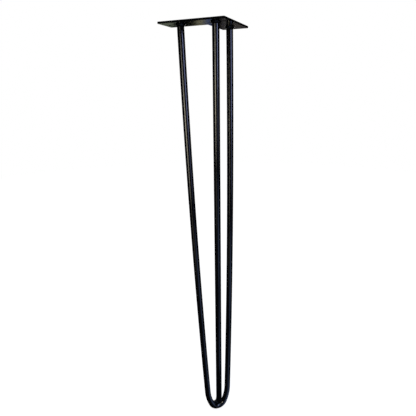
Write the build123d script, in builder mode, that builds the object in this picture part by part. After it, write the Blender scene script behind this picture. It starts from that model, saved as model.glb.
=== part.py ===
from build123d import *

import os
from math import asin, atan2, cos, degrees, hypot, radians, sin, sqrt

# Hairpin table leg, in millimetres and degrees.
# One rod is bent into a narrow hairpin, a straight corner rod stands in the bend, and all three
# rod ends are welded under an L-shaped plate that screws to the underside of a table top.
# +Z is up. The origin is on the plate's top face, over the end of the corner rod.

# Whole leg, from the table top to the floor
leg_height = 711.0

# Plate
plate_arm = 108.0
plate_width = 44.5
plate_thickness = 3.0
plate_corner_radius = 1.5
plate_edge_break = 0.4
hole_diameter = 5.5
hole_from_end = 9.0

# Rods
rod_diameter = 11.1
rod_spacing = 58.0
foot_reach = 3.1
shoulder_radius = 80.0
shoulder_turn = 23.0
bow_radius = 17000.0
straight_top = 15.0

# Corner rod in the bend
corner_rod_off_centre = 2.2
corner_rod_gap = 1.2
corner_rod_seat = 0.6

# Weld beads
plate_bead_leg = 3.0
foot_bead_crown = 3.6
foot_bead_edge = 2.6
foot_bead_toe = 0.8
foot_hollow_height = 5.8
foot_hollow_radius = 2.6
foot_hollow_climb = 4.5
foot_hollow_lean = 34.0
foot_low_height = 1.5

# The bend leaves room inside for the corner rod, its lean to one side and a gap.
rod_radius = rod_diameter / 2
bend_inside = rod_radius + corner_rod_off_centre + corner_rod_gap
bend_radius = bend_inside + rod_radius
outer_corner = plate_width / 2
arm_end = plate_arm - outer_corner
cut_overrun = rod_diameter

# The rods meet the plate on the centre lines of its arms.
rod_tops = {
    "left": (-rod_spacing, 0),
    "corner": (0, 0),
    "right": (0, rod_spacing),
}
underside = Plane.XY.offset(-plate_thickness)

# The hairpin lies in a leaning plane: across it runs the line between its two legs, and up it
# runs the line from the foot to the middle of that line.
across = Vector(1, 1, 0).normalized()
outwards = Vector(1, -1, 0).normalized()
foot = outwards * foot_reach + Vector(0, 0, rod_radius - leg_height)
legs_middle = Vector(-rod_spacing / 2, rod_spacing / 2, -plate_thickness)
bend_plane = Plane(origin=foot, x_dir=across, z_dir=across.cross(legs_middle - foot))
mirror_plane = Plane(origin=foot, z_dir=across)
half_spread = rod_spacing / sqrt(2)
rise = (legs_middle - foot).length


def hairpin_turns():
    """Angles of the foot's bend and of a leg's long bow, so that the three tangent arcs of a half
    hairpin and its straight top end on the rod's place under the plate."""
    reach = hypot(half_spread, rise - bend_radius)
    bearing = atan2(rise - bend_radius, half_spread)
    turn = radians(shoulder_turn)
    along = (shoulder_radius - bend_radius) + (bow_radius - shoulder_radius) * cos(turn)
    aside = (bow_radius - shoulder_radius) * sin(turn)
    offset = hypot(along, aside)
    bow_reach = hypot(bow_radius, straight_top)
    swing = asin((bow_reach**2 - reach**2 - offset**2) / (2 * reach * offset))
    bend = bearing + swing - atan2(aside, along)
    centre_x = -offset * sin(bearing + swing)
    centre_y = bend_radius + offset * cos(bearing + swing)
    leg_heading = atan2(half_spread - centre_x, centre_y - rise) - atan2(straight_top, bow_radius)
    return degrees(bend), degrees(leg_heading - bend) - shoulder_turn


bend_turn, bow_turn = hairpin_turns()

os.makedirs("parts", exist_ok=True)

# Mounting plate: an L of flat steel, with a screw hole near each end of both arms.
with BuildPart() as mounting_plate:
    with BuildSketch(underside):
        with Locations((outer_corner, -outer_corner)):
            Rectangle(plate_arm, plate_width, align=(Align.MAX, Align.MIN))
            Rectangle(plate_width, plate_arm, align=(Align.MAX, Align.MIN))
        fillet(vertices(), radius=plate_corner_radius)
    extrude(amount=plate_thickness)
    rims = faces().filter_by(Axis.Z).edges()
    chamfer(rims, length=plate_edge_break)
    hole_far = arm_end - hole_from_end
    hole_near = outer_corner - hole_from_end
    with Locations((-hole_far, 0), (hole_near, 0), (0, hole_far), (0, -hole_near)):
        Hole(radius=hole_diameter / 2)

mounting_plate.part.label = "mounting_plate"
export_step(mounting_plate.part, "parts/mounting_plate.step")

# Hairpin rod: half of it is swept from the foot up one leg, then mirrored.
with BuildPart() as hairpin_rod:
    with BuildLine(bend_plane):
        bend = JernArc(start=(0, 0), tangent=(1, 0), radius=bend_radius, arc_size=bend_turn)
        shoulder = JernArc(start=bend @ 1, tangent=bend % 1, radius=shoulder_radius, arc_size=shoulder_turn)
        bow = JernArc(start=shoulder @ 1, tangent=shoulder % 1, radius=bow_radius, arc_size=bow_turn)
        Line(bow @ 1, (bow @ 1) + (bow % 1) * (straight_top + cut_overrun))
    with BuildSketch(mirror_plane):
        Circle(rod_radius)
    sweep()
    mirror(about=mirror_plane)
    split(bisect_by=underside, keep=Keep.BOTTOM)

hairpin_rod.part.label = "hairpin_rod"
export_step(hairpin_rod.part, "parts/hairpin_rod.step")

# Corner rod: cut square at its foot, it leans to one side of the bend and seats a little into it.
touch_side = corner_rod_off_centre + rod_radius
seat_height = bend_radius - sqrt(bend_inside**2 - touch_side**2) - corner_rod_seat
rod_foot = bend_plane.from_local_coords(Vector(corner_rod_off_centre, seat_height, 0))
rod_head = Vector(*rod_tops["corner"], -plate_thickness)
rod_run = rod_head - rod_foot
corner_rod_plane = Plane(origin=rod_foot, z_dir=rod_run)

with BuildPart() as corner_rod:
    with BuildSketch(corner_rod_plane):
        Circle(rod_radius)
    extrude(amount=rod_run.length + cut_overrun)
    split(bisect_by=underside, keep=Keep.BOTTOM)
    add(hairpin_rod.part, mode=Mode.SUBTRACT)

corner_rod.part.label = "corner_rod"
export_step(corner_rod.part, "parts/corner_rod.step")

# Plate welds: an equal-leg fillet bead round the end of each rod.
bead_reach = rod_radius + plate_bead_leg

for place, (x, y) in rod_tops.items():
    with BuildPart() as plate_weld:
        with BuildSketch(Plane(origin=(x, y, -plate_thickness), x_dir=(1, 0, 0), z_dir=(0, -1, 0))):
            with BuildLine():
                Polyline((0, 0), (bead_reach, 0), (0, -bead_reach), close=True)
            make_face()
        revolve(axis=Axis((x, y, 0), (0, 0, 1)))
        add(hairpin_rod.part, mode=Mode.SUBTRACT)
        add(corner_rod.part, mode=Mode.SUBTRACT)
    plate_weld.part.label = f"plate_weld_{place}"
    export_step(plate_weld.part, f"parts/plate_weld_{place}.step")

# Foot weld: a crowned puddle that fills the bottom of the bend round the end of the corner rod.
# On the rod's open side its top is a round hollow, whose sides climb to a toe on the rod and on the bend.
# On the other side, where the rod lies against the bend, it stays low.
bend_centre = bend_plane.from_local_coords(Vector(0, bend_radius, 0))
open_side = rod_radius - corner_rod_off_centre
hollow_middle = Vector(-open_side - foot_bead_toe - foot_hollow_radius, seat_height + foot_hollow_height)
bead_top = hollow_middle.Y + foot_hollow_climb
bead_low = seat_height + foot_low_height
rod_lean = degrees(atan2(foot_bead_toe, foot_hollow_climb))
hollow_turn = 180 - foot_hollow_lean - rod_lean

with BuildPart() as foot_weld:
    with BuildSketch(Plane(origin=bend_centre, x_dir=across, z_dir=bend_plane.y_dir)):
        with BuildLine():
            TangentArc((0, foot_bead_crown), (bend_radius, foot_bead_edge), tangent=(1, 0))
            Line((bend_radius, foot_bead_edge), (bend_radius, -foot_bead_edge))
            TangentArc((0, -foot_bead_crown), (bend_radius, -foot_bead_edge), tangent=(1, 0))
            Line((0, -foot_bead_crown), (0, foot_bead_crown))
        make_face()
    revolve(axis=Axis(bend_centre, bend_plane.z_dir))
    with BuildSketch(bend_plane):
        with BuildLine():
            hollow = CenterArc(hollow_middle, foot_hollow_radius, 180 + foot_hollow_lean, hollow_turn)
            on_bend = hollow @ 0
            on_rod = hollow @ 1
            bend_toe = on_bend + (hollow % 0) * ((bead_top - on_bend.Y) / (hollow % 0).Y)
            rod_toe = on_rod + (hollow % 1) * ((bead_top - on_rod.Y) / (hollow % 1).Y)
            Polyline(
                on_rod,
                rod_toe,
                (corner_rod_off_centre, bead_top),
                (corner_rod_off_centre, bead_low),
                (bend_radius, bead_low),
                (bend_radius, -rod_radius),
                (-bend_radius, -rod_radius),
                (-bend_radius, bead_top),
                bend_toe,
                on_bend,
            )
        make_face()
    extrude(amount=rod_radius, both=True, mode=Mode.INTERSECT)
    add(hairpin_rod.part, mode=Mode.SUBTRACT)
    add(corner_rod.part, mode=Mode.SUBTRACT)

foot_weld.part.label = "foot_weld"
export_step(foot_weld.part, "parts/foot_weld.step")
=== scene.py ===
"""A black hairpin table leg: finer rods and rippled welds over its solids, in a small photo studio.

Lengths are in metres, in the frame of the solids: the origin is on the plate's top face, over the end of
the corner rod, +Z is up and the foot points down. Sizes are written in millimetres times MM.
"""

import logging
from dataclasses import dataclass
from enum import Enum
from math import acos, asin, atan2, cos, hypot, pi, radians, sin, sqrt, tan
from typing import Any

import bmesh
import bpy
from bmesh.types import BMEdge, BMesh, BMFace, BMVert
from mathutils import Matrix, Vector, noise


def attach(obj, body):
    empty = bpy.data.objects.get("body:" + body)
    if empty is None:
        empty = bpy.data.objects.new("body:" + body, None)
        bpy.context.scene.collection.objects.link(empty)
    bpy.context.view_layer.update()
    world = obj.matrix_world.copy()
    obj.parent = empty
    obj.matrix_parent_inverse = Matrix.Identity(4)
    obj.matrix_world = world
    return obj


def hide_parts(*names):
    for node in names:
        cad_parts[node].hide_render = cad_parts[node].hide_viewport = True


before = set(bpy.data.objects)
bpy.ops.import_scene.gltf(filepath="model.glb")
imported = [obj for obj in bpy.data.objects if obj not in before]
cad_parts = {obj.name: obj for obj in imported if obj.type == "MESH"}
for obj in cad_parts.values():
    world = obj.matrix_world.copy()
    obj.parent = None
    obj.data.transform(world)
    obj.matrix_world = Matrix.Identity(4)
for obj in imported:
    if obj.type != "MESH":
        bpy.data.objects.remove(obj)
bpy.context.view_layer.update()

MM = 0.001
MERGE_DISTANCE = 0.002 * MM
SHARP_ANGLE = radians(35)
WHITE = "ffffff"

# Watts for each square metre of a lamp's face, at which the face is as bright as white.
WHITE_LAMP_POWER = 4.0

# A Mix node has sockets of the same names for numbers, vectors and colours: these are the colours'.
MIX_COLOUR_A = 6
MIX_COLOUR_B = 7
MIX_COLOUR_RESULT = 2

log = logging.getLogger("hairpin_leg")


def linear_colour(hex_colour: str) -> tuple[float, float, float, float]:
    """Turns an sRGB hex colour into the linear colour that a shader takes.

    Args:
        hex_colour: Six hex digits, such as "1a1b1c".

    Returns:
        Red, green, blue and an alpha of 1.
    """
    channels = []
    for start in (0, 2, 4):
        level = int(hex_colour[start:start + 2], 16) / 255
        # The sRGB curve: a straight start, then a power.
        channels.append(level / 12.92 if level <= 0.04045 else ((level + 0.055) / 1.055) ** 2.4)
    return (*channels, 1.0)


def add_node(tree: bpy.types.NodeTree, kind: str, inputs: dict[str | int, Any],
             **settings: Any) -> bpy.types.Node:
    """Adds a node with its settings, values and links.

    Args:
        tree: The node tree that gets the node.
        kind: The node's type name.
        inputs: Input names or numbers, each with a value to set or an output socket to link.
        settings: Properties of the node itself.

    Returns:
        The new node.
    """
    node = tree.nodes.new(kind)
    for name, value in settings.items():
        setattr(node, name, value)
    for key, value in inputs.items():
        if isinstance(value, bpy.types.NodeSocket):
            tree.links.new(value, node.inputs[key])
        else:
            node.inputs[key].default_value = value
    return node


def new_material(name: str) -> bpy.types.Material:
    """Makes a material with an empty node tree.

    Args:
        name: The material's name.

    Returns:
        The new material.
    """
    material = bpy.data.materials.new(name)
    material.use_nodes = True
    material.node_tree.nodes.clear()
    return material


@dataclass(frozen=True)
class PowderCoat:
    """Black polyester powder, sprayed on steel and baked: a semi-gloss film that flowed as it melted.

    The film is nearly black in itself, so the eye sees it by its reflections. They are soft at the
    edges, because the film isn't quite level, and break up a little where it lies thicker or thinner.

    Attributes:
        name: Name of the material.
        colour: The film's colour where it is thick.
        thin_colour: The film's colour where it is thin.
        roughness: Lowest and highest roughness.
        cloud: Size of the patches where the film's gloss and colour vary.
        peel: Width of the orange-peel ripples. Real ones are about 1 mm; they are drawn wider to show.
        peel_depth: Height of the orange-peel ripples.
        ior: Refractive index of the film, a typical one for polyester.
    """

    name: str
    colour: str
    thin_colour: str
    roughness: tuple[float, float]
    cloud: float
    peel: float
    peel_depth: float
    ior: float = 1.5

    def material(self) -> bpy.types.Material:
        """Gives the coat's material, which is made once.

        Returns:
            The material.
        """
        if self.name in bpy.data.materials:
            return bpy.data.materials[self.name]
        material = new_material(self.name)
        tree = material.node_tree
        place = add_node(tree, "ShaderNodeTexCoord", {}).outputs["Object"]
        clouds = add_node(tree, "ShaderNodeTexNoise", {
            "Vector": place, "Scale": 1 / self.cloud, "Detail": 3.0, "Roughness": 0.55})
        shade = add_node(tree, "ShaderNodeMix", {
            "Factor": clouds.outputs["Fac"], MIX_COLOUR_A: linear_colour(self.colour),
            MIX_COLOUR_B: linear_colour(self.thin_colour)}, data_type="RGBA")
        gloss = add_node(tree, "ShaderNodeMapRange", {
            "Value": clouds.outputs["Fac"], "From Min": 0.3, "From Max": 0.7,
            "To Min": self.roughness[0], "To Max": self.roughness[1]})
        ripples = add_node(tree, "ShaderNodeTexNoise", {
            "Vector": place, "Scale": 1 / self.peel, "Detail": 2.0, "Roughness": 0.5})
        bump = add_node(tree, "ShaderNodeBump", {
            "Height": ripples.outputs["Fac"], "Strength": 1.0, "Distance": self.peel_depth})
        film = add_node(tree, "ShaderNodeBsdfPrincipled", {
            "Base Color": shade.outputs[MIX_COLOUR_RESULT], "Roughness": gloss.outputs["Result"],
            "Normal": bump.outputs["Normal"], "IOR": self.ior})
        add_node(tree, "ShaderNodeOutputMaterial", {"Surface": film.outputs["BSDF"]})
        return material


class Coat(Enum):
    """The one powder coat, as it lies on each kind of steel under it."""

    ROD = PowderCoat("black_powder_coat_on_drawn_rod", colour="020203", thin_colour="050506",
                     roughness=(0.13, 0.20), cloud=22 * MM, peel=2.2 * MM, peel_depth=0.008 * MM)
    PLATE = PowderCoat("black_powder_coat_on_cut_plate", colour="020203", thin_colour="060606",
                       roughness=(0.16, 0.24), cloud=16 * MM, peel=2.0 * MM, peel_depth=0.006 * MM)
    WELD = PowderCoat("black_powder_coat_on_weld", colour="020203", thin_colour="060606",
                      roughness=(0.20, 0.32), cloud=5 * MM, peel=1.2 * MM, peel_depth=0.03 * MM)


def finish_piece(bm: BMesh, name: str, coat: Coat, node: str) -> bpy.types.Object:
    """Turns a bmesh into a coated piece of the leg that stands for one of its solids.

    Args:
        bm: The piece's shape, in its place on the leg. It is freed.
        name: Name of the piece.
        coat: The coat that it gets.
        node: The solid that it stands for.

    Returns:
        The new object.
    """
    bmesh.ops.remove_doubles(bm, verts=bm.verts[:], dist=MERGE_DISTANCE)
    bmesh.ops.recalc_face_normals(bm, faces=bm.faces[:])
    mesh = bpy.data.meshes.new(name)
    bm.to_mesh(mesh)
    bm.free()
    mesh.shade_smooth()
    mesh.set_sharp_from_angle(angle=SHARP_ANGLE)
    mesh.materials.append(coat.value.material())
    piece = bpy.data.objects.new(name, mesh)
    bpy.context.scene.collection.objects.link(piece)
    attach(piece, "root")
    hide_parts(node)
    return piece


def whole(bm: BMesh) -> list[BMVert | BMEdge | BMFace]:
    """Lists all of a bmesh's vertices, edges and faces."""
    return bm.verts[:] + bm.edges[:] + bm.faces[:]


def verts_in(made: list[BMVert | BMEdge | BMFace]) -> list[BMVert]:
    """Picks the vertices out of what an operator made."""
    return [item for item in made if isinstance(item, BMVert)]


def edges_in(made: list[BMVert | BMEdge | BMFace]) -> list[BMEdge]:
    """Picks the edges out of what an operator made."""
    return [item for item in made if isinstance(item, BMEdge)]


def cut_level(bm: BMesh, place: Vector) -> None:
    """Cuts a shape off level with a point, removes what is above it and closes the cut.

    Args:
        bm: The shape to cut.
        place: The point.
    """
    up = (0.0, 0.0, 1.0)
    cut = bmesh.ops.bisect_plane(bm, geom=whole(bm), plane_co=place, plane_no=up, clear_outer=True)
    bmesh.ops.holes_fill(bm, edges=edges_in(cut["geom_cut"]))


@dataclass(frozen=True)
class LegLines:
    """The leg's lines: where its rods start, bend and end.

    Attributes:
        height: From the plate's top face to the floor.
        plate_thickness: Thickness of the plate.
        rod_radius: Radius of all three rods.
        rod_spacing: From the corner rod's top to each of the hairpin's tops.
        foot_reach: How far the foot stands out from under the corner rod's top.
        off_centre: How far the corner rod's foot is from the middle of the bend.
        bend_gap: Room left between the corner rod and the nearer leg of the bend.
    """

    height: float = 711.0 * MM
    plate_thickness: float = 3.0 * MM
    rod_radius: float = 5.55 * MM
    rod_spacing: float = 58.0 * MM
    foot_reach: float = 3.1 * MM
    off_centre: float = 2.2 * MM
    bend_gap: float = 1.2 * MM

    @property
    def underside(self) -> Vector:
        """The corner rod's top, on the plate's underside."""
        return Vector((0.0, 0.0, -self.plate_thickness))

    @property
    def bend_inside(self) -> float:
        """Inner radius of the foot's bend."""
        return self.rod_radius + self.off_centre + self.bend_gap

    @property
    def bend_radius(self) -> float:
        """Radius of the bend's centre line."""
        return self.bend_inside + self.rod_radius

    @property
    def foot(self) -> Vector:
        """The lowest point of the bend's centre line."""
        reach = self.foot_reach / sqrt(2)
        return Vector((reach, -reach, self.rod_radius - self.height))

    @property
    def legs_middle(self) -> Vector:
        """The point halfway between the hairpin's two tops."""
        half = self.rod_spacing / 2
        return Vector((-half, half, -self.plate_thickness))

    @property
    def bend_frame(self) -> Matrix:
        """Works out the frame of the hairpin's plane.

        Returns:
            A matrix whose x runs across the hairpin, y up it and z out of its front, from the foot.
        """
        across = Vector((1.0, 1.0, 0.0)).normalized()
        up = (self.legs_middle - self.foot).normalized()
        turn = Matrix((across, up, across.cross(up))).transposed().to_4x4()
        return Matrix.Translation(self.foot) @ turn


@dataclass(frozen=True)
class HairpinRod:
    """One rod bent into a hairpin: a tight bend, a shoulder that eases out of it and a long slight bow.

    Attributes:
        lines: The leg's lines.
        shoulder_radius: Radius of the shoulder above the bend.
        shoulder_turn: Angle that the shoulder turns through.
        bow_radius: Radius of the long bow of each leg.
        straight_top: Length of the straight end under the plate.
        round_steps: Faces round the rod.
        arc_steps: Rings along the bend, the shoulder and the bow.
    """

    lines: LegLines
    shoulder_radius: float = 80.0 * MM
    shoulder_turn: float = radians(23)
    bow_radius: float = 17000.0 * MM
    straight_top: float = 15.0 * MM
    round_steps: int = 64
    arc_steps: tuple[int, int, int] = (36, 12, 60)

    def turns(self) -> tuple[float, float]:
        """Works out the turns that bring a leg to its place under the plate.

        Returns:
            The angle of the half bend and the angle of the long bow.
        """
        lines = self.lines
        spread = lines.rod_spacing / sqrt(2)
        rise = (lines.legs_middle - lines.foot).length
        reach = hypot(spread, rise - lines.bend_radius)
        bearing = atan2(rise - lines.bend_radius, spread)
        inner = self.bow_radius - self.shoulder_radius
        along = self.shoulder_radius - lines.bend_radius + inner * cos(self.shoulder_turn)
        aside = inner * sin(self.shoulder_turn)
        offset = hypot(along, aside)
        bow_reach = hypot(self.bow_radius, self.straight_top)
        swing = asin((bow_reach**2 - reach**2 - offset**2) / (2 * reach * offset))
        bend = bearing + swing - atan2(aside, along)
        centre_x = -offset * sin(bearing + swing)
        centre_y = lines.bend_radius + offset * cos(bearing + swing)
        heading = atan2(spread - centre_x, centre_y - rise) - atan2(self.straight_top, self.bow_radius)
        return bend, heading - bend - self.shoulder_turn

    def sweep_leg(self, bm: BMesh) -> None:
        """Sweeps the rod's circle from the foot up one leg, in the hairpin's own plane.

        Args:
            bm: The bmesh that gets the leg.
        """
        lines = self.lines
        bend_turn, bow_turn = self.turns()
        arcs = ((lines.bend_radius, bend_turn), (self.shoulder_radius, self.shoulder_turn),
                (self.bow_radius, bow_turn))
        bmesh.ops.create_circle(bm, segments=self.round_steps, radius=lines.rod_radius,
                                matrix=Matrix.Rotation(pi / 2, 4, "Y"))
        rim = bm.verts[:] + bm.edges[:]
        place = Vector((0.0, 0.0, 0.0))
        heading = 0.0
        for (radius, turn), steps in zip(arcs, self.arc_steps):
            centre = place + radius * Vector((-sin(heading), cos(heading), 0.0))
            swept = bmesh.ops.spin(bm, geom=rim, cent=centre, axis=(0, 0, 1), angle=turn, steps=steps)
            rim = verts_in(swept["geom_last"]) + edges_in(swept["geom_last"])
            heading += turn
            place = centre + radius * Vector((sin(heading), -cos(heading), 0.0))
        grown = bmesh.ops.extrude_edge_only(bm, edges=edges_in(rim))
        past_plate = self.straight_top + 2 * lines.rod_radius
        bmesh.ops.translate(bm, verts=verts_in(grown["geom"]),
                            vec=past_plate * Vector((cos(heading), sin(heading), 0.0)))

    def build(self) -> bpy.types.Object:
        """Builds the hairpin and cuts its two tops level with the plate's underside.

        Returns:
            The finished piece.
        """
        bm = bmesh.new()
        self.sweep_leg(bm)
        bmesh.ops.mirror(bm, geom=whole(bm), matrix=Matrix.Identity(4), merge_dist=MERGE_DISTANCE,
                         axis="X")
        bm.transform(self.lines.bend_frame)
        cut_level(bm, self.lines.underside)
        return finish_piece(bm, "bent_rod", Coat.ROD, "hairpin_rod")


@dataclass(frozen=True)
class CornerRod:
    """A straight rod from the plate's corner down into the bend, cut square at its foot.

    Attributes:
        lines: The leg's lines.
        seat: How far the rod's end is melted into the bend.
        edge_round: Radius that the saw cut's edge was dressed to.
        edge_steps: Faces across that edge.
        round_steps: Faces round the rod.
    """

    lines: LegLines
    seat: float = 0.6 * MM
    edge_round: float = 0.5 * MM
    edge_steps: int = 3
    round_steps: int = 64

    @property
    def seat_height(self) -> float:
        """Works out how low the rod's end sits.

        Returns:
            Height of the rod's lower end in the bend's frame.
        """
        lines = self.lines
        touch_side = lines.off_centre + lines.rod_radius
        return lines.bend_radius - sqrt(lines.bend_inside**2 - touch_side**2) - self.seat

    @property
    def foot(self) -> Vector:
        """The middle of the rod's lower end."""
        return self.lines.bend_frame @ Vector((self.lines.off_centre, self.seat_height, 0.0))

    @property
    def run(self) -> Vector:
        """The rod's line, from its foot to its top."""
        return self.lines.underside - self.foot

    def build(self) -> bpy.types.Object:
        """Builds the rod and cuts its top level with the plate's underside.

        Returns:
            The finished piece.
        """
        bm = bmesh.new()
        upright = self.run.to_track_quat("Z", "Y").to_matrix().to_4x4()
        bmesh.ops.create_circle(bm, cap_ends=True, segments=self.round_steps,
                                radius=self.lines.rod_radius,
                                matrix=Matrix.Translation(self.foot) @ upright)
        rim = bm.edges[:]
        grown = bmesh.ops.extrude_edge_only(bm, edges=rim)
        past_plate = self.run.normalized() * 2 * self.lines.rod_radius
        bmesh.ops.translate(bm, verts=verts_in(grown["geom"]), vec=self.run + past_plate)
        bmesh.ops.bevel(bm, geom=rim, offset=self.edge_round, segments=self.edge_steps, profile=0.5,
                        affect="EDGES", material=-1)
        cut_level(bm, self.lines.underside)
        return finish_piece(bm, "straight_rod", Coat.ROD, "corner_rod")


class RodTop(Enum):
    """Where a rod meets the plate, in steps of the rods' spacing along X and Y."""

    LEFT = (-1, 0)
    CORNER = (0, 0)
    RIGHT = (0, 1)


@dataclass(frozen=True)
class PlateBead:
    """The fillet weld round a rod's top: a row of overlapping ripples laid by hand.

    Attributes:
        lines: The leg's lines.
        top: The rod top that it goes round.
        leg: Width of the bead on the plate and its height on the rod.
        sink: How far the bead's back lies inside the rod.
        crown: How far the bead's face bulges.
        ripples: Ripples in a full turn.
        ripple_depth: Depth of the valley between two ripples.
        wander: How far the valleys stray round the bead, in radians.
        wander_size: Length over which they stray.
        profile_steps: Faces across the bead.
        turn_steps: Faces round the bead.
    """

    lines: LegLines
    top: RodTop
    leg: float = 3.0 * MM
    sink: float = 0.4 * MM
    crown: float = 0.35 * MM
    ripples: int = 15
    ripple_depth: float = 0.3 * MM
    wander: float = 0.5
    wander_size: float = 4 * MM
    profile_steps: int = 8
    turn_steps: int = 150

    def profile(self) -> list[Vector]:
        """Gives the bead's section as a closed outline.

        Returns:
            Points in the XZ plane, from the toe on the plate, over the crown and back inside the rod.
        """
        inner = self.lines.rod_radius - self.sink
        on_plate = Vector((self.lines.rod_radius + self.leg, 0.0, 0.0))
        on_rod = Vector((inner, 0.0, -self.leg - self.sink))
        outwards = Vector((1.0, 0.0, -1.0)).normalized()
        points = []
        for step in range(self.profile_steps + 1):
            share = step / self.profile_steps
            bulge = 4 * share * (1 - share) * self.crown
            points.append(on_plate.lerp(on_rod, share) + bulge * outwards)
        return [*points, Vector((inner, 0.0, 0.0))]

    def ripple(self, bm: BMesh) -> None:
        """Presses the valleys between the ripples into the bead's face.

        Args:
            bm: The bead, about the Z axis.
        """
        middle = self.lines.rod_radius
        for vert in bm.verts:
            out = hypot(vert.co.x, vert.co.y) - middle
            # The valleys run out at both toes of the bead.
            on_face = min(1.0, max(0.0, min(out, -vert.co.z)) / (self.leg / 4))
            stray = self.wander * noise.noise(vert.co / self.wander_size)
            around = atan2(vert.co.y, vert.co.x) + stray
            valley = (1 - abs(sin(around * self.ripples / 2))) * self.ripple_depth * on_face
            inwards = Vector((-vert.co.x, -vert.co.y, hypot(vert.co.x, vert.co.y))).normalized()
            vert.co += valley * inwards

    def build(self) -> bpy.types.Object:
        """Builds the bead under the plate.

        Returns:
            The finished piece.
        """
        bm = bmesh.new()
        verts = [bm.verts.new(point) for point in self.profile()]
        for start, end in zip(verts, verts[1:] + verts[:1]):
            bm.edges.new((start, end))
        bmesh.ops.spin(bm, geom=whole(bm), cent=(0, 0, 0), axis=(0, 0, 1), angle=2 * pi,
                       steps=self.turn_steps, use_merge=True)
        self.ripple(bm)
        x, y = self.top.value
        place = self.lines.underside + self.lines.rod_spacing * Vector((x, y, 0.0))
        bmesh.ops.translate(bm, verts=bm.verts[:], vec=place)
        side = self.top.name.lower()
        return finish_piece(bm, f"plate_bead_{side}", Coat.WELD, f"plate_weld_{side}")


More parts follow.
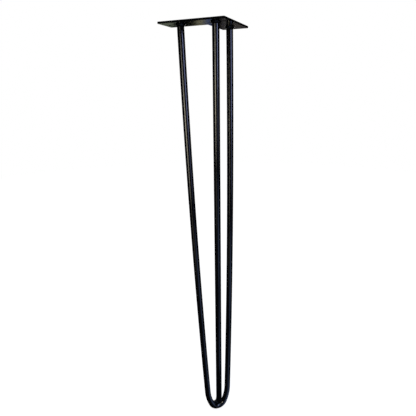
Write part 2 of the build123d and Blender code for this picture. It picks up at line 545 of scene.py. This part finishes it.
@dataclass(frozen=True)
class FootBead:
    """The weld at the foot: it fills the bottom of the bend round the corner rod's end.

    On the rod's open side its top is a hollow that runs out into the rod and the bend. On the other
    side, where the rod touches the bend, it lies low.

    Attributes:
        lines: The leg's lines.
        corner_rod: The rod whose end it holds.
        crown: How far it stands out behind the bend's plane, at the middle of the bend.
        edge: How far it stands out behind the bend's plane, at the bend's centre line.
        front_share: How much of that it stands out in front. It was laid from behind and hardly shows.
        height: Height of the hollow's middle above the rod's end.
        hollow_radius: Radius of the hollow's bottom.
        toe: Thickness of the weld on the rod, beside the hollow's middle.
        leans: How far the hollow's two sides lean outwards, on the bend and on the rod.
        climb: How far the weld climbs above the hollow's middle.
        low_height: Height of its top above the rod's end, on the other side.
        sink: How far its right end lies inside the bent rod.
        settling: Times that its surface is smoothed, as molten metal settles, which rounds its edges.
        flare_reach: How far from the hollow the weld follows the hollow's flare.
        lump: Size of the lumps left by the molten metal.
        lump_depth: Height of those lumps.
        top_steps: Faces along the top: on the bend, in the hollow, up the rod and on to the right end.
        deep_steps: Faces from the top down to the bend.
        thick_steps: Faces from front to back.
    """

    lines: LegLines
    corner_rod: CornerRod
    crown: float = 3.6 * MM
    edge: float = 2.6 * MM
    front_share: float = 0.35
    height: float = 5.8 * MM
    hollow_radius: float = 2.6 * MM
    toe: float = 0.8 * MM
    leans: tuple[float, float] = (radians(34), radians(10.5))
    climb: float = 4.5 * MM
    low_height: float = 1.5 * MM
    sink: float = 1.0 * MM
    settling: int = 4
    flare_reach: float = 8.0 * MM
    lump: float = 2.6 * MM
    lump_depth: float = 0.2 * MM
    top_steps: tuple[int, int, int, int] = (8, 24, 8, 16)
    deep_steps: int = 10
    thick_steps: int = 8

    @property
    def hollow(self) -> Vector:
        """The hollow's middle in the bend's frame."""
        across = self.lines.off_centre - self.lines.rod_radius - self.toe - self.hollow_radius
        return Vector((across, self.corner_rod.seat_height + self.height, 0.0))

    def top_line(self, bm: BMesh) -> None:
        """Draws the line of the weld's top in the bend's plane, from left to right.

        Args:
            bm: The bmesh that gets the line.
        """
        lines = self.lines
        centre = self.hollow
        bend_lean, rod_lean = self.leans
        low_top = self.corner_rod.seat_height + self.low_height
        reach = lines.bend_inside + self.sink
        right_end = Vector((sqrt(reach**2 - (lines.bend_radius - low_top)**2), low_top, 0.0))
        on_bend, across, on_rod, onwards = self.top_steps
        bend_side = Vector((cos(bend_lean), sin(bend_lean), 0.0))
        first = bm.verts.new(centre - self.hollow_radius * bend_side)
        swept = bmesh.ops.spin(bm, geom=[first], cent=centre, axis=(0, 0, 1),
                               angle=pi - bend_lean - rod_lean, steps=across)
        last, = verts_in(swept["geom_last"])
        rises = [centre.y + self.climb - vert.co.y for vert in (first, last)]
        bend_toe = first.co + rises[0] * Vector((-tan(bend_lean), 1.0, 0.0))
        rod_toe = last.co + rises[1] * Vector((tan(rod_lean), 1.0, 0.0))
        self.straight_on(bm, first, bend_toe, on_bend)
        self.straight_on(bm, self.straight_on(bm, last, rod_toe, on_rod), right_end, onwards)

    def straight_on(self, bm: BMesh, start: BMVert, end: Vector, steps: int) -> BMVert:
        """Draws a straight line on from a point.

        Args:
            bm: The bmesh that gets the line.
            start: The point that it starts from.
            end: Where it ends.
            steps: Edges along it.

        Returns:
            Its last point.
        """
        drawn = bmesh.ops.spin(bm, geom=[start], cent=start.co, axis=(0, 0, 1),
                               dvec=(end - start.co) / steps, angle=0, steps=steps)
        last, = verts_in(drawn["geom_last"])
        return last

    def bend_line(self, bm: BMesh) -> None:
        """Draws the bend's centre line in its plane, under the weld's top line.

        Args:
            bm: The bmesh that gets the line.
        """
        radius = self.lines.bend_radius
        centre = Vector((0.0, radius, 0.0))
        left_turn = acos((radius - self.hollow.y - self.climb) / radius)
        right_turn = acos((radius - self.corner_rod.seat_height - self.low_height) / radius)
        first = bm.verts.new(centre - radius * Vector((sin(left_turn), cos(left_turn), 0.0)))
        bmesh.ops.spin(bm, geom=[first], cent=centre, axis=(0, 0, 1), angle=left_turn + right_turn,
                       steps=sum(self.top_steps))

    def thicken(self, bm: BMesh) -> None:
        """Turns the flat section into a closed shape, crowned at the front and back.

        Args:
            bm: The section's faces, in the bend's plane.
        """
        grown = bmesh.ops.extrude_face_region(bm, geom=bm.faces[:])
        # The back is set at -1 and the front at 1, and the crown then scales them to their depth.
        bmesh.ops.translate(bm, verts=bm.verts[:], vec=(0.0, 0.0, -1.0))
        bmesh.ops.translate(bm, verts=verts_in(grown["geom"]), vec=(0.0, 0.0, 2.0))
        through = [edge for edge in bm.edges if abs(edge.verts[0].co.z - edge.verts[1].co.z) > 1]
        bmesh.ops.subdivide_edges(bm, edges=through, cuts=self.thick_steps - 1, use_grid_fill=True)
        middle = Vector((0.0, self.lines.bend_radius))
        for vert in bm.verts:
            share = (vert.co.xy - middle).length / self.lines.bend_radius
            depth = self.crown - (self.crown - self.edge) * share**2
            vert.co.z *= depth * self.front_share if vert.co.z > 0 else depth

    def flare(self, bm: BMesh) -> None:
        """Widens the hollow towards the front and back, where the round rods stand further apart.

        Args:
            bm: The weld's shape, in the bend's frame.
        """
        centre = self.hollow
        rod_radius = self.lines.rod_radius
        for vert in bm.verts:
            out = Vector((vert.co.x - centre.x, min(0.0, vert.co.y - centre.y), 0.0))
            near = 1 - (out.length - self.hollow_radius) / self.flare_reach
            if near > 0:
                vert.co += near * (rod_radius - sqrt(rod_radius**2 - vert.co.z**2)) * out.normalized()

    def build(self) -> bpy.types.Object:
        """Builds the weld in the bend.

        Returns:
            The finished piece.
        """
        bm = bmesh.new()
        self.top_line(bm)
        self.bend_line(bm)
        section = bmesh.ops.bridge_loops(bm, edges=bm.edges[:])
        bmesh.ops.subdivide_edges(bm, edges=section["edges"], cuts=self.deep_steps - 1,
                                  use_grid_fill=True)
        self.thicken(bm)
        self.flare(bm)
        for _ in range(self.settling):
            bmesh.ops.smooth_vert(bm, verts=bm.verts[:], factor=0.5, use_axis_x=True, use_axis_y=True,
                                  use_axis_z=True)
        bmesh.ops.recalc_face_normals(bm, faces=bm.faces[:])
        for vert in bm.verts:
            vert.co += self.lump_depth * noise.noise(vert.co / self.lump) * vert.normal
        bm.transform(self.lines.bend_frame)
        return finish_piece(bm, "foot_bead", Coat.WELD, "foot_weld")


@dataclass(frozen=True)
class MountingPlate:
    """The L-shaped plate, which keeps its own solid and gets the coat.

    Attributes:
        node: The plate's solid.
    """

    node: str = "mounting_plate"

    def dress(self) -> bpy.types.Object:
        """Coats the plate.

        Returns:
            The plate's object.
        """
        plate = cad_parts[self.node]
        for slot in plate.material_slots:
            slot.material = Coat.PLATE.value.material()
        return plate


@dataclass(frozen=True)
class Viewpoint:
    """The camera: close to the leg, a little below the plate, looking down at the foot.

    Attributes:
        place: Where the camera stands.
        heading: How far it is turned to the left of +Y.
        tilt: How far it looks down.
        roll: How far it is turned about its own axis.
        lens: Focal length in millimetres, for a sensor 36 mm wide.
    """

    place: tuple[float, float, float] = (231.28 * MM, -560.18 * MM, -94.96 * MM)
    heading: float = radians(23.81)
    tilt: float = radians(17.711)
    roll: float = radians(-0.696)
    lens: float = 32.58

    def set_up(self) -> None:
        """Makes the scene's camera."""
        data = bpy.data.cameras.new("camera")
        data.lens = self.lens
        camera = bpy.data.objects.new("camera", data)
        camera.matrix_world = (Matrix.Translation(self.place) @ Matrix.Rotation(self.heading, 4, "Z")
                               @ Matrix.Rotation(pi / 2 - self.tilt, 4, "X")
                               @ Matrix.Rotation(self.roll, 4, "Z"))
        bpy.context.scene.collection.objects.link(camera)
        bpy.context.scene.camera = camera


class LampShape(Enum):
    """Outline of a lamp's face."""

    SQUARED = "RECTANGLE"
    OVAL = "ELLIPSE"


class Facing(Enum):
    """Which way a lamp faces, as its turn about the line across it."""

    LEG = pi / 2
    UP = pi
    DOWN = 0.0


class Skips(Enum):
    """A piece of the leg that a lamp can be kept off, by the name of its object."""

    PLATE = "mounting_plate"
    CORNER_ROD = "straight_rod"


@dataclass(frozen=True)
class Softbox:
    """A flat soft lamp that faces the leg, or lies flat.

    Attributes:
        name: Name of the lamp.
        bearing: Where it stands round the leg, in degrees to the camera's right.
        distance: Distance from the leg.
        height: Height of its middle.
        width: Its width.
        tall: Its height, or its depth if it lies flat.
        colour: Colour of its light.
        radiance: Brightness of its face, where 1 is white. An oval face gives as much light as a
            squared one, so it is brighter.
        shape: Outline of its face.
        faces: Which way it faces.
        skips: The piece of the leg that it is kept off, if any.
    """

    name: str
    bearing: float
    distance: float
    height: float
    width: float
    tall: float
    colour: str
    radiance: float
    shape: LampShape = LampShape.SQUARED
    faces: Facing = Facing.LEG
    skips: Skips | None = None

    def light(self, heading: float) -> bpy.types.Object:
        """Makes the lamp.

        Args:
            heading: The camera's heading, which the bearing is counted from.

        Returns:
            The lamp's object.
        """
        data = bpy.data.lights.new(self.name, "AREA")
        data.shape = self.shape.value
        data.size = self.width
        data.size_y = self.tall
        data.color = linear_colour(self.colour)[:3]
        data.energy = WHITE_LAMP_POWER * self.radiance * self.width * self.tall
        round_leg = Matrix.Rotation(heading + radians(self.bearing), 4, "Z")
        stand = Matrix.Translation((0.0, -self.distance, self.height))
        face = Matrix.Rotation(self.faces.value, 4, "X")
        lamp = bpy.data.objects.new(self.name, data)
        lamp.matrix_world = round_leg @ stand @ face
        lamp.visible_camera = False
        bpy.context.scene.collection.objects.link(lamp)
        return lamp


@dataclass(frozen=True)
class Card:
    """An upright matte card behind the leg, which the plate's underside reflects.

    Attributes:
        name: Name of the card.
        offset: Where its middle stands, to the camera's right.
        width: Its width.
        colour: Its colour.
        distance: How far behind the leg it stands.
        height: Height of its middle.
        tall: Its height.
    """

    name: str
    offset: float
    width: float
    colour: str
    distance: float = 1.2
    height: float = -0.19
    tall: float = 0.34

    def shape(self, heading: float) -> BMesh:
        """Makes the card's shape.

        Args:
            heading: The camera's heading, which the card faces.

        Returns:
            A bmesh with the one face.
        """
        bm = bmesh.new()
        # A grid's size is half its width, so the card is 1 by 1 before it is scaled.
        bmesh.ops.create_grid(bm, x_segments=1, y_segments=1, size=0.5)
        bmesh.ops.scale(bm, verts=bm.verts[:], vec=(self.width, self.tall, 1.0))
        bm.transform(Matrix.Rotation(heading, 4, "Z")
                     @ Matrix.Translation((self.offset, self.distance, self.height))
                     @ Matrix.Rotation(pi / 2, 4, "X"))
        return bm


@dataclass(frozen=True)
class Studio:
    """A white floor under a white surround, with dark cloth that shapes what the coat reflects.

    Attributes:
        view: The camera.
        floor_height: Height of the floor.
        lamps: The lamps round the leg.
        cards: The cards behind the leg.
        fill: Strength of the surround's own light.
        floor_colour: The floor's colour as it lights the leg.
        floor_tone: The floor's colour to the eye, which takes a soft shadow.
        floor_glow: What the floor's brightness is raised by to the eye, up to white.
        floor_radius: Radius of the floor.
        cloth_radius: Distance of the dark cloth from the leg.
        cloth_top: Height of the cloth's top edge.
        cloth_opening: Radius of the opening in the cloth on the floor.
        cloth_lift: How far the cloth lies above the floor.
        cloth_colour: The cloth's colour.
        round_steps: Edges round the floor and the cloth.
    """

    view: Viewpoint
    floor_height: float
    lamps: tuple[Softbox, ...]
    cards: tuple[Card, ...]
    fill: float = 0.75
    floor_colour: str = "f4f4f4"
    floor_tone: str = "898989"
    floor_glow: float = 0.82
    floor_radius: float = 2.6
    cloth_radius: float = 2.2
    cloth_top: float = 1.1
    cloth_opening: float = 8 * MM
    cloth_lift: float = 1 * MM
    cloth_colour: str = "0c0c0c"
    round_steps: int = 96

    def set_piece(self, bm: BMesh, name: str, material: bpy.types.Material) -> bpy.types.Object:
        """Turns a bmesh into a piece of the set, which isn't part of the leg.

        Args:
            bm: The shape. It is freed.
            name: Name of the piece.
            material: Its material.

        Returns:
            The new object.
        """
        mesh = bpy.data.meshes.new(name)
        bm.to_mesh(mesh)
        bm.free()
        mesh.materials.append(material)
        piece = bpy.data.objects.new(name, mesh)
        bpy.context.scene.collection.objects.link(piece)
        return piece

    def only_reflected(self, piece: bpy.types.Object) -> None:
        """Lets a piece of the set show in reflections alone."""
        piece.visible_camera = piece.visible_diffuse = piece.visible_shadow = False
        piece.visible_transmission = piece.visible_volume_scatter = False

    def seen(self, tree: bpy.types.NodeTree) -> bpy.types.NodeSocket:
        """Finds whether a surface is seen, directly or in a reflection, or only gives light.

        Args:
            tree: The node tree that asks.

        Returns:
            A socket that is 1 where it is seen.
        """
        rays = add_node(tree, "ShaderNodeLightPath", {}).outputs
        shiny = add_node(tree, "ShaderNodeMath", {
            0: rays["Is Glossy Ray"], 1: rays["Is Transmission Ray"]}, operation="MAXIMUM")
        return add_node(tree, "ShaderNodeMath", {0: rays["Is Camera Ray"], 1: shiny.outputs["Value"]},
                        operation="MAXIMUM").outputs["Value"]

    def matte(self, name: str, colour: str) -> bpy.types.Material:
        """Makes a plain matte material for the set.

        Args:
            name: Name of the material.
            colour: Its colour.

        Returns:
            The material.
        """
        material = new_material(name)
        tree = material.node_tree
        face = add_node(tree, "ShaderNodeBsdfDiffuse", {"Color": linear_colour(colour)})
        add_node(tree, "ShaderNodeOutputMaterial", {"Surface": face.outputs["BSDF"]})
        return material

    def paper(self) -> bpy.types.Material:
        """Makes the floor's matte white paper, which keeps a soft shadow and is clear from below.

        Returns:
            The material.
        """
        material = new_material("white_paper_floor")
        tree = material.node_tree
        seen = self.seen(tree)
        glow = add_node(tree, "ShaderNodeMath", {0: seen, 1: self.floor_glow}, operation="MULTIPLY")
        tone = add_node(tree, "ShaderNodeMix", {
            "Factor": seen, MIX_COLOUR_A: linear_colour(self.floor_colour),
            MIX_COLOUR_B: linear_colour(self.floor_tone)}, data_type="RGBA")
        paper = add_node(tree, "ShaderNodeBsdfPrincipled", {
            "Base Color": tone.outputs[MIX_COLOUR_RESULT], "Roughness": 0.9, "Specular IOR Level": 0.0,
            "Emission Color": linear_colour(WHITE), "Emission Strength": glow.outputs["Value"]})
        side = add_node(tree, "ShaderNodeNewGeometry", {}).outputs["Backfacing"]
        clear = add_node(tree, "ShaderNodeBsdfTransparent", {})
        sheet = add_node(tree, "ShaderNodeMixShader", {
            0: side, 1: paper.outputs["BSDF"], 2: clear.outputs["BSDF"]})
        add_node(tree, "ShaderNodeOutputMaterial", {"Surface": sheet.outputs["Shader"]})
        return material

    def lay_floor(self) -> None:
        """Lays the round floor under the foot."""
        bm = bmesh.new()
        bmesh.ops.create_circle(bm, cap_ends=True, segments=self.round_steps, radius=self.floor_radius,
                                matrix=Matrix.Translation((0.0, 0.0, self.floor_height)))
        self.set_piece(bm, "floor", self.paper())

    def hang_cloth(self) -> None:
        """Hangs dark cloth round the set and lays it on the floor, open round the foot."""
        bm = bmesh.new()
        low = self.floor_height + self.cloth_lift
        outline = ((self.cloth_opening, low), (self.cloth_radius, low), (self.cloth_radius, self.cloth_top))
        verts = [bm.verts.new((out, 0.0, height)) for out, height in outline]
        for start, end in zip(verts, verts[1:]):
            bm.edges.new((start, end))
        bmesh.ops.spin(bm, geom=whole(bm), cent=(0, 0, 0), axis=(0, 0, 1), angle=2 * pi,
                       steps=self.round_steps, use_merge=True)
        # Molton is brushed cotton, nearly black and without shine.
        molton = self.matte("black_molton_cloth", self.cloth_colour)
        self.only_reflected(self.set_piece(bm, "dark_cloth", molton))

    def stand_card(self, card: Card) -> None:
        """Stands a card in the set.

        Args:
            card: The card.
        """
        board = self.matte(card.name, card.colour)
        self.only_reflected(self.set_piece(card.shape(self.view.heading), card.name, board))

    def surround(self) -> None:
        """Makes the surround: white to the eye and in reflections, and an even fill as light."""
        world = bpy.data.worlds.new("white_surround")
        world.use_nodes = True
        # The surround is even, so there are no bright parts to sample more.
        world.cycles.sampling_method = "NONE"
        tree = world.node_tree
        tree.nodes.clear()
        strength = add_node(tree, "ShaderNodeMapRange", {
            "Value": self.seen(tree), "To Min": self.fill, "To Max": 1.0})
        light = add_node(tree, "ShaderNodeBackground", {
            "Color": linear_colour(WHITE), "Strength": strength.outputs["Result"]})
        add_node(tree, "ShaderNodeOutputWorld", {"Surface": light.outputs["Background"]})
        bpy.context.scene.world = world

    def hang_lamps(self) -> None:
        """Hangs the lamps, each kept off the piece of the leg that it skips."""
        for lamp in self.lamps:
            hung = lamp.light(self.view.heading)
            if lamp.skips:
                skipped = bpy.data.collections.new(f"skipped_by_{lamp.name}")
                skipped.objects.link(bpy.data.objects[lamp.skips.value])
                skipped.collection_objects[0].light_linking.link_state = "EXCLUDE"
                hung.light_linking.receiver_collection = skipped

    def set_up(self) -> None:
        """Sets up the floor, cloth, cards, surround, lamps and camera."""
        bpy.context.scene.view_settings.view_transform = "Standard"
        self.lay_floor()
        self.hang_cloth()
        for card in self.cards:
            self.stand_card(card)
        self.surround()
        self.hang_lamps()
        self.view.set_up()


# The upright lamps skip the plate, because its flat faces would mirror them as white, and the lamp at the
# foot skips the corner rod, which is dark down there.
STUDIO_LAMPS = (
    Softbox("warm_window", bearing=-29, distance=1.6, height=-0.15, width=0.64, tall=0.94, colour="fff8e6",
            radiance=3.2, shape=LampShape.OVAL, skips=Skips.PLATE),
    Softbox("bright_pane", bearing=-36, distance=1.58, height=-0.18, width=0.24, tall=0.34, colour="fff0c8",
            radiance=6.5, skips=Skips.PLATE),
    Softbox("warm_bounce", bearing=-26, distance=1.15, height=-0.70, width=0.6, tall=0.9, colour="fff8e6",
            radiance=0.32, shape=LampShape.OVAL, faces=Facing.UP),
    Softbox("cool_window", bearing=46, distance=1.6, height=0.32, width=0.54, tall=0.94, colour="bac7ff",
            radiance=5.0, shape=LampShape.OVAL, skips=Skips.PLATE),
    Softbox("cool_sill", bearing=45, distance=1.58, height=-0.24, width=0.46, tall=0.52, colour="bac7ff",
            radiance=1.7, skips=Skips.PLATE),
    Softbox("low_bounce", bearing=34, distance=0.95, height=-0.70, width=0.62, tall=1.2, colour="a9c3ff",
            radiance=0.57, shape=LampShape.OVAL, faces=Facing.UP),
    Softbox("near_bounce", bearing=42, distance=0.24, height=-0.705, width=0.18, tall=0.34, colour="a9c3ff",
            radiance=0.32, shape=LampShape.OVAL, faces=Facing.UP),
    Softbox("foot_bounce", bearing=66, distance=0.055, height=-0.709, width=0.06, tall=0.075,
            colour="a6c1ff", radiance=0.48, shape=LampShape.OVAL, faces=Facing.UP, skips=Skips.CORNER_ROD),
    Softbox("skylight", bearing=36, distance=1.0, height=0.95, width=1.0, tall=0.8, colour="8ec3ff",
            radiance=3.0, faces=Facing.DOWN),
    Softbox("back_left", bearing=-166, distance=1.6, height=-0.25, width=0.28, tall=0.80, colour=WHITE,
            radiance=0.8, skips=Skips.PLATE),
    Softbox("back_right", bearing=166, distance=1.6, height=-0.25, width=0.28, tall=0.80, colour=WHITE,
            radiance=0.8, skips=Skips.PLATE),
)

STUDIO_CARDS = (
    Card("pale_card", offset=-0.235, width=0.16, colour="808570"),
    Card("warm_card", offset=-0.038, width=0.040, colour="908a6c"),
    Card("cool_card", offset=-0.004, width=0.026, colour="5c688e"),
    Card("dim_card", offset=0.135, width=0.16, colour="57524e"),
)


def main() -> None:
    """Builds the leg's pieces in order, sets up the studio and reports each piece."""
    logging.basicConfig(level=logging.INFO, format="%(name)s: %(message)s")
    lines = LegLines()
    corner_rod = CornerRod(lines)
    pieces = [MountingPlate().dress(), HairpinRod(lines).build(), corner_rod.build()]
    pieces += [PlateBead(lines, top).build() for top in RodTop]
    pieces.append(FootBead(lines, corner_rod).build())
    for piece in pieces:
        log.info("%s has %d faces", piece.name, len(piece.data.polygons))
    Studio(Viewpoint(), -lines.height, STUDIO_LAMPS, STUDIO_CARDS).set_up()


if __name__ == "__main__":
    main()
